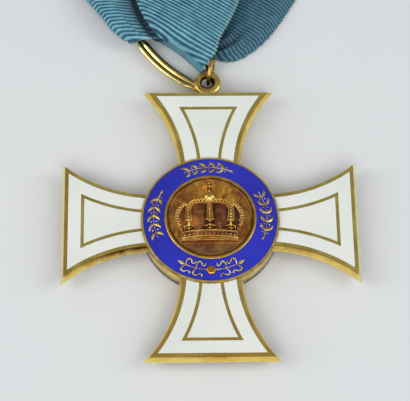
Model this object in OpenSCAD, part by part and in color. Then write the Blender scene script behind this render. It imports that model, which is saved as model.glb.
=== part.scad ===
// Enamelled cross of an order, worn at the neck, lying face up on a table with its ribbon.
// The origin is the middle of the reverse plate where it touches the table; +Y runs to the ribbon.

/* [Cross] */
// Reach of an arm from the centre to the ridge of its edge
arm_reach = 26; // [20:0.5:34]
// Thickness of the cross
cross_t = 2.8; // [2:0.1:4]
// Width of the bevel round the edge, seen from the front
bevel_w = 0.57; // [0.3:0.01:0.9]
// Half width of an arm at its narrowest, on the front face
neck_half = 4.84; // [3.5:0.01:5.5]
// Distance of that narrowest place from the centre
neck_at = 9.2; // [6:0.1:11]
// Radius of the hollow curve along each side of an arm
side_r = 25.9; // [22:0.1:40]
// Width of the gold rim round the enamel
rim_w = 0.6; // [0.4:0.05:1]
// Width of the enamel between the rim and the inner gold line
band_w = 2.3; // [1.5:0.1:2.8]
// Width of the inner gold line
line_w = 0.5; // [0.3:0.05:0.8]
// Depth of the enamel
enamel_t = 0.4; // [0.2:0.05:0.6]

/* [Medallion] */
// Radius of the medallion
medal_r = 12.05; // [11.5:0.05:14]
// Thickness of the reverse plate that the badge lies on
reverse_t = 1.2; // [0.8:0.1:2]
// Height of the outer gold rim above the cross
outer_rise = 0.4; // [0.3:0.05:0.8]
// Height of the inner gold rim above the cross
inner_rise = 1.3; // [1:0.05:2]
// Width of the outer gold rim
outer_rim_w = 0.32; // [0.2:0.02:0.6]
// Radius of the inner gold rim, outside
inner_r = 8.0; // [7:0.05:8.6]
// Width of the inner gold rim
inner_rim_w = 0.5; // [0.3:0.05:0.8]
// Thickness of the crown's plate
plate_t = 0.35; // [0.2:0.05:0.5]
// Height of the crown's relief above its plate
crown_h = 1.2; // [0.6:0.05:1.6]
// Half width of the crown where it is widest
crown_half = 6.0; // [5:0.05:6.4]
// Thickness of the gilt ornament on the blue enamel
gilt_t = 0.12; // [0.08:0.01:0.3]

/* [Suspension] */
// Outside radius of the eyelet
eyelet_r = 2.5; // [2.3:0.05:3]
// Diameter of the eyelet's hole
eyelet_bore = 2.2; // [2:0.05:2.6]
// Thickness of the eyelet
eyelet_t = 1.1; // [0.8:0.05:1.2]
// Radius of the jump ring, to the middle of its wire
ring_r = 2.3; // [2.2:0.05:2.5]
// Diameter of the jump ring's wire
ring_wire = 0.7; // [0.5:0.01:0.75]
// Length of the ribbon loop, outside
loop_l = 19.6; // [17:0.1:26]
// Width of the ribbon loop, outside
loop_w = 6.9; // [6.2:0.1:9]
// Radius of the ribbon loop's round ends, outside
loop_end_r = 2.3; // [2.2:0.05:2.5]
// Diameter of each of the loop's two ridges
ridge_d = 0.76; // [0.6:0.01:0.8]
// Width of each ridge along the loop's two long sides
ridge_w = 1.08; // [0.8:0.01:1.2]
// Direction of the loop's length, from the eyelet outwards
loop_dir = 137.5; // [125:0.5:145]

/* [Ribbon] */
// Width of the ribbon where it lies flat
ribbon_w = 50; // [40:1:60]
// Thickness of the ribbon
ribbon_t = 1; // [0.8:0.05:1.2]
// Length of each side of the neck ribbon, from the loop to the fold behind the neck
strand_l = 182; // [150:1:230]
// Height of the soft fold behind the neck, between the middles of its layers
fold_h = 2.2; // [1.6:0.1:5]
// Height to which the bunched ribbon rises over the loop
bunch_h = 3; // [2.6:0.1:5]

/* [Hidden] */
$fn = 96;
gap = 0.03;
fine = 0.02;
face_z = reverse_t + cross_t;
mid_z = reverse_t + cross_t / 2;
face_end = arm_reach - bevel_w;
side_v = neck_half + side_r;
line_at = rim_w + band_w;

// The suspension's places follow the eyelet, and the ribbon lies under the loop.
eyelet_y = arm_reach + eyelet_r - 0.4;
loop_z = ribbon_t + ridge_d / 2 + 0.12;
cap_y = eyelet_y + 0.6;
ring_x = 0.2;
ring_turn = 13;
ring_y = eyelet_y + 2.45;
ring_z = ring_r + ring_wire / 2 + 0.08;
half_l = loop_l / 2 - loop_end_r;
half_w = loop_w / 2;
loop_side_r = (half_l * half_l + half_w * half_w - loop_end_r * loop_end_r) / (2 * (half_w - loop_end_r));
loop_fan = asin(half_l / (loop_side_r - loop_end_r));
loop_mid = [half_l * cos(loop_dir), cap_y + half_l * sin(loop_dir)];
wrap_mid = loop_mid - (loop_side_r - half_w) * [sin(loop_dir), -cos(loop_dir)];
wrap_r = loop_side_r - ridge_d - ridge_w / 2;
wrap_dir = loop_dir - 88.5;
wrap_fan = 13;
turn_r = ribbon_t / 2 + ridge_d / 2 + 0.12;
turn_reach = ribbon_t / 2 + ridge_w / 2 + 0.12;
seat = wrap_mid + wrap_r * [cos(wrap_dir), sin(wrap_dir)];

// An arm along +X: a bevelled bar, hollowed on both sides by bevelled discs.
module arm_bar() {
    difference() {
        rotate([90, 0, 0])
            linear_extrude(30, center = true)
                polygon([[0, 0], [face_end, 0], [arm_reach, cross_t / 2],
                    [face_end, cross_t], [0, cross_t]]);
        for (s = [-1, 1])
            translate([neck_at, s * side_v, 0])
                rotate_extrude($fn = 180)
                    polygon([[0, -1], [side_r + 2 * bevel_w / cross_t, -1],
                        [side_r - bevel_w, cross_t / 2],
                        [side_r + 2 * bevel_w / cross_t, cross_t + 1], [0, cross_t + 1]]);
    }
}

// The outline of an arm's front face, drawn in by a distance.
module arm_face(inset) {
    difference() {
        translate([0, -arm_reach / 2])
            square([face_end - inset, arm_reach]);
        for (s = [-1, 1])
            translate([neck_at, s * side_v])
                circle(side_r + inset, $fn = 180);
    }
}

// Enamel runs up to the medallion's round edge.
module band_shape(margin) {
    difference() {
        arm_face(rim_w + margin);
        arm_face(line_at - margin);
        circle(medal_r + margin);
    }
}

module field_shape(margin) {
    difference() {
        arm_face(line_at + line_w + margin);
        circle(medal_r + margin);
    }
}

module eyelet() {
    flat = (eyelet_r * 2 - eyelet_bore) / 2 - eyelet_t;
    rotate_extrude() {
        translate([eyelet_bore / 2 + eyelet_t / 2, 0])
            circle(eyelet_t / 2, $fn = 32);
        translate([eyelet_r - eyelet_t / 2, 0])
            circle(eyelet_t / 2, $fn = 32);
        translate([eyelet_bore / 2 + eyelet_t / 2, -eyelet_t / 2])
            square([flat, eyelet_t]);
    }
}

module cross_body() {
    color("goldenrod")
        union() {
            difference() {
                translate([0, 0, reverse_t])
                    union() {
                        for (a = [0, 90, 180, 270])
                            rotate(a)
                                arm_bar();
                        cylinder(h = cross_t, r = medal_r);
                    }
                for (a = [0, 90, 180, 270])
                    rotate(a)
                        translate([0, 0, face_z - enamel_t]) {
                            linear_extrude(1)
                                band_shape(0);
                            linear_extrude(1)
                                field_shape(0);
                        }
            }
            translate([0, eyelet_y, mid_z])
                eyelet();
            translate([-1.5, arm_reach - 0.6, mid_z - 0.4])
                cube([3, 0.9, 0.8]);
        }
}

// Enamel stands a hair below the gold, so the rims stay proud of it.
module enamel_band(a) {
    color("white")
        rotate(a)
            translate([0, 0, face_z - enamel_t + fine])
                linear_extrude(enamel_t - 2 * fine)
                    band_shape(gap);
}

module enamel_field(a) {
    color("white")
        rotate(a)
            translate([0, 0, face_z - enamel_t + fine])
                linear_extrude(enamel_t - 2 * fine)
                    field_shape(gap);
}

// The medallion's surface climbs from the outer rim to the inner one.
band_out = medal_r - outer_rim_w;
band_low = face_z + outer_rise - 0.06;
band_high = face_z + inner_rise - 0.12;
function band_z(r) = band_low + (band_high - band_low) * (band_out - r) / (band_out - inner_r);

module medallion_mount() {
    floor_z = face_z + fine;
    seat_z = face_z + 0.35;
    color("gold")
        rotate_extrude()
            polygon([[0, floor_z], [medal_r, floor_z], [medal_r, face_z + outer_rise - 0.08],
                [medal_r - 0.08, face_z + outer_rise], [band_out, face_z + outer_rise],
                [band_out, band_low - 0.3], [inner_r, band_high - 0.5],
                [inner_r, face_z + inner_rise - 0.05], [inner_r - 0.1, face_z + inner_rise],
                [inner_r - inner_rim_w + 0.1, face_z + inner_rise],
                [inner_r - inner_rim_w, face_z + inner_rise - 0.15],
                [inner_r - inner_rim_w, seat_z], [0, seat_z]]);
}

module blue_ring() {
    color("mediumblue")
        rotate_extrude()
            polygon([[inner_r + gap, band_high - 0.5 + gap], [band_out - gap, band_low - 0.3 + gap],
                [band_out - gap, band_low], [inner_r + gap, band_high]]);
}

// The crown is drawn in shares of its half width, and its levels in shares of the relief's height.
function bend(p, q) = p[0] * pow(1 - q, 3) + 3 * p[1] * q * pow(1 - q, 2)
    + 3 * p[2] * q * q * (1 - q) + p[3] * pow(q, 3);

module strip(p, w) {
    steps = 12;
    side = [for (i = [0:steps]) let (q = i / steps, c = bend(p, q),
        d = bend(p, min(q + 0.02, 1)) - bend(p, max(q - 0.02, 0)), n = [-d[1], d[0]] / norm(d))
        [c + n * w / 2, c - n * w / 2]];
    polygon(concat([for (s = side) s[0]], [for (i = [steps:-1:0]) side[i][1]]));
}

// Each arch: foot, bulge low, bulge high, top, and its width.
ARCHES = [
    // foot x, low x, low y, high x, high y, top x, width
    [0.78, 1.22, 0.10, 0.93, 0.74, 0.10, 0.10],
    [0.47, 0.72, 0.02, 0.66, 0.72, 0.07, 0.13]];
band_y = -0.78;
crown_top = 0.58;
leaf_y = -0.36;

module crown_outline() {
    polygon([[-0.8, band_y], [0.8, band_y], [0.84, -0.3], [1, 0.16], [0.86, 0.46], [0.5, 0.6],
        [0, 0.66], [-0.5, 0.6], [-0.86, 0.46], [-1, 0.16], [-0.84, -0.3]] * crown_half);
}

module crown_arches() {
    for (a = ARCHES)
        for (s = [-1, 1])
            strip([[s * a[0], leaf_y], [s * a[1], a[2]], [s * a[3], a[4]],
                [s * a[5], crown_top]] * crown_half, a[6] * crown_half);
    translate([-0.075, leaf_y] * crown_half)
        square([0.15, crown_top - leaf_y] * crown_half);
}

module crown_band() {
    translate([-0.8, band_y] * crown_half)
        square([1.6, 0.28] * crown_half);
}

module crown_disc() {
    top = face_z + 0.35 + fine + plate_t;
    color("darkgoldenrod")
        union() {
            translate([0, 0, top - plate_t])
                cylinder(h = plate_t, r = inner_r - inner_rim_w - gap);
            translate([0, -0.02 * crown_half, top - 0.05]) {
                linear_extrude(crown_h * 0.4 + 0.05)
                    crown_outline();
                linear_extrude(crown_h * 0.8)
                    crown_arches();
                linear_extrude(crown_h * 0.75)
                    crown_band();
                for (y = [0, 0.21])
                    translate([-0.82, band_y + y] * crown_half)
                        cube([1.64 * crown_half, 0.07 * crown_half, crown_h * 0.9]);
                for (x = [-0.76, -0.46, 0, 0.46, 0.76])
                    translate([x * crown_half, leaf_y * crown_half, 0])
                        cylinder(h = crown_h * 0.95, r = 0.1 * crown_half, $fn = 24);
                for (x = [-0.61, -0.23, 0.23, 0.61])
                    translate([x * crown_half, (leaf_y - 0.02) * crown_half, 0])
                        cylinder(h = crown_h * 0.8, r = 0.045 * crown_half, $fn = 24);
                translate([0, 0.73 * crown_half, crown_h * 0.3])
                    scale([1, 1, 0.4])
                        sphere(0.15 * crown_half, $fn = 32);
                for (s = [[0.07, 0.26], [0.22, 0.08]])
                    translate([-s[0] / 2 * crown_half, (0.98 - s[1] / 2) * crown_half, 0])
                        cube([s[0] * crown_half, s[1] * crown_half, crown_h * 0.5]);
            }
        }
}

// Gilt ornament is cut from one thin skin that follows the blue enamel's slope.
module gilt_skin() {
    intersection() {
        translate([0, 0, face_z])
            linear_extrude(3)
                children();
        rotate_extrude()
            polygon([[inner_r + 0.2, band_z(inner_r + 0.2) + fine],
                [band_out - 0.2, band_z(band_out - 0.2) + fine],
                [band_out - 0.2, band_z(band_out - 0.2) + fine + gilt_t],
                [inner_r + 0.2, band_z(inner_r + 0.2) + fine + gilt_t]]);
    }
}

// A bent stroke: an arc of a ring round a point, from one angle to another.
module stroke(at, r, w, from, to) {
    steps = 10;
    translate(at)
        polygon(concat(
            [for (i = [0:steps]) let (a = from + (to - from) * i / steps) (r + w / 2) * [cos(a), sin(a)]],
            [for (i = [steps:-1:0]) let (a = from + (to - from) * i / steps) (r - w / 2) * [cos(a), sin(a)]]));
}

mid_r = (inner_r + band_out) / 2;
gilt_w = 0.2;

module on_ring(a) {
    rotate(a - 90)
        translate([0, mid_r])
            children();
}

// The scroll's two bent lines, as shares of the blue ring's width.
CURL_UP = [
    // inwards along the stem, away from it
    [0.000, 0.000], [-0.054, 0.134], [-0.032, 0.268], [0.080, 0.338], [0.177, 0.279],
    [0.231, 0.193], [0.300, 0.161], [0.365, 0.209], [0.391, 0.295]];
CURL_LOW = [
    // inwards along the stem, away from it
    [0.000, 0.000], [-0.091, 0.121], [-0.129, 0.236], [-0.040, 0.322], [0.080, 0.279],
    [0.177, 0.214], [0.255, 0.241], [0.276, 0.349]];
curl_starts = [0.67, 1.21];
ring_band = band_out - inner_r;

function area(p, i = 0) = i == len(p) ? 0 : cross(p[i], p[(i + 1) % len(p)]) / 2 + area(p, i + 1);
function backwards(p) = [for (i = [len(p) - 1:-1:0]) p[i]];

// A bent line on the ring, from a place along the stem, on one side of it.
module curl(list, side, start, up) {
    path = [for (s = [0:0.5:len(list) - 1]) let (q = row_at(list, s),
        a = 270 + side * (start - q[0]) * ring_band / mid_r * 180 / PI)
        (mid_r + up * q[1] * ring_band) * [cos(a), sin(a)]];
    last = len(path) - 1;
    sides = [for (i = [0:last]) let (d = path[min(i + 1, last)] - path[max(i - 1, 0)])
        [-d[1], d[0]] / norm(d) * gilt_w / 2];
    outline = concat(path + sides, backwards(path - sides));
    polygon(area(outline) > 0 ? outline : backwards(outline));
}

module gilt_scroll() {
    color("khaki")
        gilt_skin() {
            on_ring(270)
                circle(0.8, $fn = 32);
            stroke([0, 0], mid_r, gilt_w, 239, 301);
            for (side = [-1, 1]) {
                for (start = curl_starts) {
                    curl(CURL_UP, side, start, -1);
                    curl(CURL_LOW, side, start, 1);
                }
                on_ring(270 + side * 32)
                    scale([1.9, 0.8])
                        circle(0.42, $fn = 4);
            }
        }
}

// A sprig: a bent stem with pairs of curved leaves, spread over an angle of the ring.
module gilt_sprig(a, spread) {
    pairs = 5;
    leaf_r = 0.9;
    color("khaki")
        gilt_skin() {
            stroke([0, 0], mid_r, gilt_w, a - spread / 2, a + spread / 2);
            for (i = [0:pairs - 1])
                on_ring(a + spread * (0.46 - 0.22 * i)) {
                    stroke([0, leaf_r], leaf_r, 0.32, -100, 0);
                    stroke([0, -leaf_r], leaf_r, 0.32, 0, 100);
                }
        }
}

module reverse_plate() {
    color("goldenrod")
        rotate_extrude()
            polygon([[0, 0], [medal_r - 0.3, 0], [medal_r, 0.3], [medal_r, reverse_t - fine],
                [0, reverse_t - fine]]);
}

module jump_ring() {
    color("gold")
        translate([ring_x + (ring_y - cap_y) * tan(ring_turn), ring_y, ring_z])
            rotate([0, 0, -ring_turn])
                rotate([0, 90, 0])
                    rotate_extrude()
                        translate([ring_r, 0])
                            circle(ring_wire / 2, $fn = 32);
}

// The loop is two ridges side by side, swept round its oval: a long arc, an end, and both again.
// The ridges are wider along the arcs, and narrow again before the end that holds the jump ring.
loop_line_r = loop_end_r - ridge_d;
long_line_r = loop_side_r - ridge_d;
long_steps = 20;
wide_from = 0.76;
wide_over = 0.28;
end_steps = 20;
function turned(v, a) = [v[0] * cos(a) - v[1] * sin(a), v[0] * sin(a) + v[1] * cos(a)];
function on_arc(at, r, a, h, wide) = [turned(at + r * [cos(a), sin(a)], h), turned([cos(a), sin(a)], h), wide];
function eased(q) = q * q * (3 - 2 * q);
function arc_wide(f) = let (q = min((wide_from + f) / wide_over, (1 - f) / wide_over, 1))
    1 + (ridge_w / ridge_d - 1) * eased(max(q, 0));
loop_line = [for (h = [0, 180])
    each concat(
        [for (i = [0:long_steps - 1]) let (f = 2 * i / long_steps - 1)
            on_arc([half_w - loop_side_r, 0], long_line_r, loop_fan * f, h, arc_wide(h == 0 ? f : -f))],
        [for (i = [0:end_steps - 1])
            on_arc([0, half_l], loop_line_r, loop_fan + (180 - 2 * loop_fan) * i / end_steps, h, 1)])];
ridge_r = ridge_d / 2 + 0.02;
ridge_open = 180 - acos(ridge_d / 2 / ridge_r);
ridge_steps = 10;
loop_section = [for (s = [1, -1])
    for (i = [0:ridge_steps]) let (a = ridge_open * (2 * i / ridge_steps - 1))
        s * [ridge_d / 2 + ridge_r * cos(a), ridge_r * sin(a)]];

module ribbon_loop() {
    n = len(loop_line);
    m = len(loop_section);
    points = [for (p = loop_line)
        for (q = loop_section)
            [p[0][0] + p[2] * q[0] * p[1][0], p[0][1] + p[2] * q[0] * p[1][1], q[1]]];
    function at(i, j) = (i % n) * m + j % m;
    color("gold")
        translate([loop_mid[0], loop_mid[1], loop_z])
            rotate(loop_dir - 90)
                polyhedron(points, [for (i = [0:n - 1])
                    for (j = [0:m - 1])
                        for (f = [[at(i, j), at(i + 1, j), at(i + 1, j + 1)],
                            [at(i, j), at(i + 1, j + 1), at(i, j + 1)]]) f]);
}

// The ribbon's rows lie outwards from the loop. Near rows are in shares of the ribbon's width,
// far rows along the strand are in shares of its length; rise, puff and crease are shares of
// the bunched height.
FRONT_NEAR = [
    // out, side, half, turn, sag, rise, puff, crease
    [0.029, -0.035, 0.135, -15, 0.060, 0.22, 0.26, 0.30],
    [0.061, -0.056, 0.187, -12, 0.055, 0.46, 0.38, 0.62],
    [0.104, -0.074, 0.227, -11, 0.030, 0.56, 0.38, 0.72],
    [0.199, -0.084, 0.287, -7, 0.012, 0.42, 0.30, 0.50],
    [0.370, -0.080, 0.345, -4, 0.004, 0.34, 0.27, 0.36],
    [0.640, -0.050, 0.400, -1, 0.000, 0.28, 0.22, 0.22]];
FRONT_FAR = [
    // out, side, half, turn, sag, rise, puff, crease
    [0.27, -0.010, 0.440, 0, 0.00, 0.25, 0.20, 0.15],
    [0.46, 0.060, 0.490, 0, 0.00, 0.12, 0.10, 0.00],
    [0.72, 0.095, 0.500, 0, 0.00, 0.05, 0.06, 0.00],
    [0.98, 0.095, 0.500, 0, 0.00, 0.00, 0.00, 0.00]];
BACK_NEAR = [
    // out, side, half, turn, sag, rise, puff, crease
    [0.029, 0.010, 0.111, -39, 0.020, 0.00, 0.02, 0.00],
    [0.049, 0.059, 0.147, -33, 0.020, 0.02, 0.06, 0.00],
    [0.109, 0.116, 0.193, -19, 0.010, 0.06, 0.12, 0.00],
    [0.219, 0.143, 0.257, -9, 0.000, 0.05, 0.12, 0.00],
    [0.370, 0.165, 0.320, -5, 0.000, 0.04, 0.10, 0.00],
    [0.640, 0.180, 0.395, -2, 0.000, 0.03, 0.08, 0.00]];
BACK_FAR = [
    // out, side, half, turn, sag, rise, puff, crease
    [0.27, 0.190, 0.450, 0, 0.00, 0.02, 0.04, 0.00],
    [0.46, 0.150, 0.500, 0, 0.00, 0.01, 0.02, 0.00],
    [0.72, 0.110, 0.500, 0, 0.00, 0.00, 0.02, 0.00],
    [0.98, 0.095, 0.500, 0, 0.00, 0.00, 0.00, 0.00]];
CREASE_AT = -0.3;
CREASE_WIDE = 0.16;
across = 20;
per_row = 4;
low_z = ribbon_t / 2;
high_z = low_z + 2 * turn_r;

// Rows as lengths: middle x, middle y, half width, turn, sag, height, puff, crease.
function near_row(r, base) = [seat[0] + r[1] * ribbon_w, seat[1] + r[0] * ribbon_w,
    r[2] * ribbon_w, r[3], r[4] * ribbon_w, base + r[5] * bunch_h, r[6] * bunch_h, r[7] * bunch_h];
function far_row(r, base) = [seat[0] + r[1] * ribbon_w, seat[1] + r[0] * strand_l,
    r[2] * ribbon_w, r[3], r[4] * ribbon_w, base + r[5] * bunch_h, r[6] * bunch_h, r[7] * bunch_h];
wrap_half = wrap_r * sin(wrap_fan);
wrap_sag = wrap_r * (1 - cos(wrap_fan));
function rows(near, far, base, far_base) = concat(
    [[seat[0], seat[1], wrap_half, wrap_dir - 90, wrap_sag, base, 0, 0]],
    [for (r = near) near_row(r, base)], [for (r = far) far_row(r, far_base)]);
front_rows = rows(FRONT_NEAR, FRONT_FAR, high_z, low_z + fold_h);
back_rows = rows(BACK_NEAR, BACK_FAR, low_z, low_z);

// A smooth curve through the rows, and the rows' own shape: ends drawn back, middle puffed up.
function between(a, b, c, d, q) = ((2 * b) + (c - a) * q + (2 * a - 5 * b + 4 * c - d) * q * q
    + (3 * b - a - 3 * c + d) * q * q * q) / 2;
function row_at(list, s) = let (n = len(list) - 1, i = min(floor(s), n - 1), q = s - i)
    between(list[max(i - 1, 0)], list[i], list[i + 1], list[min(i + 2, n)], q);
function on_row(r, t) = let (l = r[2] * t, b = -r[4] * t * t)
    [r[0] + l * cos(r[3]) - b * sin(r[3]), r[1] + l * sin(r[3]) + b * cos(r[3]),
        r[5] + r[6] * (1 - t * t) - r[7] * exp(-pow((t - CREASE_AT) / CREASE_WIDE, 2))];
function strand(list, s, t) = on_row(row_at(list, s), t);

row_n = len(front_rows) - 1;
front_steps = [for (i = [0:row_n * per_row]) i / per_row];
wrap_steps = [30, 60, 90, 120, 150];
function wrap_point(a, t) = let (p = strand(front_rows, 0, t), d = wrap_dir - wrap_fan * t)
    [p[0] - turn_reach * sin(a) * cos(d), p[1] - turn_reach * sin(a) * sin(d),
        low_z + turn_r * (1 + cos(a))];
front_end = front_rows[row_n];
top_z = front_end[5];
far_steps = [36, 72, 108, 144];
function far_point(a, t) = let (p = strand(front_rows, row_n, t), r = (top_z - low_z) / 2)
    [p[0], p[1] + r * sin(a), low_z + r * (1 + cos(a))];

// The middle surface, a ring of stations: round the loop, out in front, round the far fold and back.
function sides() = [for (j = [0:across]) 2 * j / across - 1];
middle = concat(
    [for (s = front_steps) [for (t = sides()) strand(front_rows, s, t)]],
    [for (a = far_steps) [for (t = sides()) far_point(a, t)]],
    [for (i = [len(front_steps) - 1:-1:0]) [for (t = sides()) strand(back_rows, front_steps[i], t)]],
    [for (i = [len(wrap_steps) - 1:-1:0]) [for (t = sides()) wrap_point(wrap_steps[i], t)]]);

module ribbon() {
    n = len(middle);
    m = across + 1;
    function up(i, j) = let (
        a = middle[(i + 1) % n][j] - middle[(i + n - 1) % n][j],
        b = middle[i][min(j + 1, across)] - middle[i][max(j - 1, 0)],
        c = cross(b, a))
        c / norm(c) * ribbon_t / 2;
    outer = [for (i = [0:n - 1]) for (j = [0:across]) middle[i][j] + up(i, j)];
    inner = [for (i = [0:n - 1]) for (j = [0:across]) middle[i][j] - up(i, j)];
    function at(i, j) = (i % n) * m + j;
    under = n * m;
    function quad(a, b, c, d) = [[a, b, c], [a, c, d]];
    color("cadetblue")
        polyhedron(concat(outer, inner), concat(
            [for (i = [0:n - 1]) for (j = [0:across - 1])
                each quad(at(i, j), at(i + 1, j), at(i + 1, j + 1), at(i, j + 1))],
            [for (i = [0:n - 1]) for (j = [0:across - 1])
                each quad(at(i, j) + under, at(i, j + 1) + under, at(i + 1, j + 1) + under,
                    at(i + 1, j) + under)],
            [for (i = [0:n - 1])
                each quad(at(i, 0), at(i, 0) + under, at(i + 1, 0) + under, at(i + 1, 0))],
            [for (i = [0:n - 1])
                each quad(at(i, across), at(i + 1, across), at(i + 1, across) + under,
                    at(i, across) + under)]));
}

cross_body();
enamel_band(0);  // enamel_band_e
enamel_band(90);  // enamel_band_n
enamel_band(180);  // enamel_band_w
enamel_band(270);  // enamel_band_s
enamel_field(0);  // enamel_field_e
enamel_field(90);  // enamel_field_n
enamel_field(180);  // enamel_field_w
enamel_field(270);  // enamel_field_s
medallion_mount();
blue_ring();
crown_disc();
gilt_scroll();
gilt_sprig(177, 54);  // gilt_sprig_w
gilt_sprig(93.5, 52);  // gilt_sprig_n
gilt_sprig(5, 54);  // gilt_sprig_e
reverse_plate();
jump_ring();
ribbon_loop();
ribbon();
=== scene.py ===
"""Looks of the order neck badge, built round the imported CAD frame. Lengths are in millimetres
until a mesh is made."""

import math

import bpy
import numpy as np
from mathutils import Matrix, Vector


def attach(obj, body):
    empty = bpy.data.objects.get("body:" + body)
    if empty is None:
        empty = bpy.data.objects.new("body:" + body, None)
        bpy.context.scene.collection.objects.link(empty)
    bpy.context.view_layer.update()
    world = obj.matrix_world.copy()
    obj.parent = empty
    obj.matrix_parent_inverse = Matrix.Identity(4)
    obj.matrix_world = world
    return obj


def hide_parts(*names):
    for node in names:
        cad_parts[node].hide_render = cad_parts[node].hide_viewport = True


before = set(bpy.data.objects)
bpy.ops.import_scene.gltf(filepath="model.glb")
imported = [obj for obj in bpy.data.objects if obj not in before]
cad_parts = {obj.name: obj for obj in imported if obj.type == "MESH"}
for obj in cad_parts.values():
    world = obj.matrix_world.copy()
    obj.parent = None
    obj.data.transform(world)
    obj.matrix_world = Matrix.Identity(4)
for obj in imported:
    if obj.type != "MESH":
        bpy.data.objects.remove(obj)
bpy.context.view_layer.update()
MM = 0.001

# Sizes of the badge, as in the CAD source
ARM_REACH, FACE_Z, MID_Z = 26.0, 4.0, 2.6
EYELET_Y = 28.1
RING_OUT, RING_IN, RECESS_R = 11.73, 8.0, 7.5
RING_LOW, RING_HIGH = FACE_Z + 0.34, FACE_Z + 1.18
RING_MID = (RING_OUT + RING_IN) / 2
DISC_R, DISC_Z = 7.46, 4.72


# Small helpers

def sind(a):
    return math.sin(math.radians(a))


def cosd(a):
    return math.cos(math.radians(a))


def smooth(value, low, high):
    """0 at one value and 1 at another, with a soft start and end."""
    q = np.clip((value - low) / (high - low), 0, 1)
    return q * q * (3 - 2 * q)


def bell(value, middle, wide):
    return np.exp(-((value - middle) / wide) ** 2)


def fade(run, start, over):
    """1 up to a start, and dying away after it."""
    return math.exp(-max(run - start, 0) / over)


def srgb(r, g, b):
    """A colour read from a screen, 0 to 255, as the linear one that a shader takes."""
    def lin(v):
        v /= 255
        return v / 12.92 if v <= 0.04045 else ((v + 0.055) / 1.055) ** 2.4
    return (lin(r), lin(g), lin(b), 1.0)


def link(name, data):
    """A new object in the scene."""
    item = bpy.data.objects.new(name, data)
    bpy.context.scene.collection.objects.link(item)
    return item


def add_mesh(name, verts, faces, material, rounded=True):
    """A new piece from points in millimetres."""
    mesh = bpy.data.meshes.new(name)
    mesh.from_pydata((np.asarray(verts, float) * MM).tolist(), [], [tuple(f) for f in faces])
    mesh.update()
    if rounded:
        mesh.polygons.foreach_set("use_smooth", [True] * len(mesh.polygons))
    mesh.materials.append(material)
    return link(name, mesh)


def add_values(piece, name, values):
    """A value for each point, which the piece's material reads."""
    layer = piece.data.attributes.new(name, "FLOAT", "POINT")
    layer.data.foreach_set("value", np.asarray(values).astype(np.float32))


def path_sides(path):
    """The direction across a flat path, at each of its points."""
    d = np.gradient(path, axis=0)
    return np.stack([-d[:, 1], d[:, 0]], 1) / np.linalg.norm(d, axis=1, keepdims=True)


def run_along(path):
    """The length of a path up to each of its points."""
    return np.concatenate([[0], np.cumsum(np.linalg.norm(np.diff(path, axis=0), axis=1))])


def softened(height, passes):
    """Heights over a grid, averaged with their neighbours again and again."""
    for _ in range(passes):
        p = np.pad(height, 1, mode="edge")
        height = (4 * height + p[:-2, 1:-1] + p[2:, 1:-1] + p[1:-1, :-2] + p[1:-1, 2:]) / 8
    return height


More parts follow.
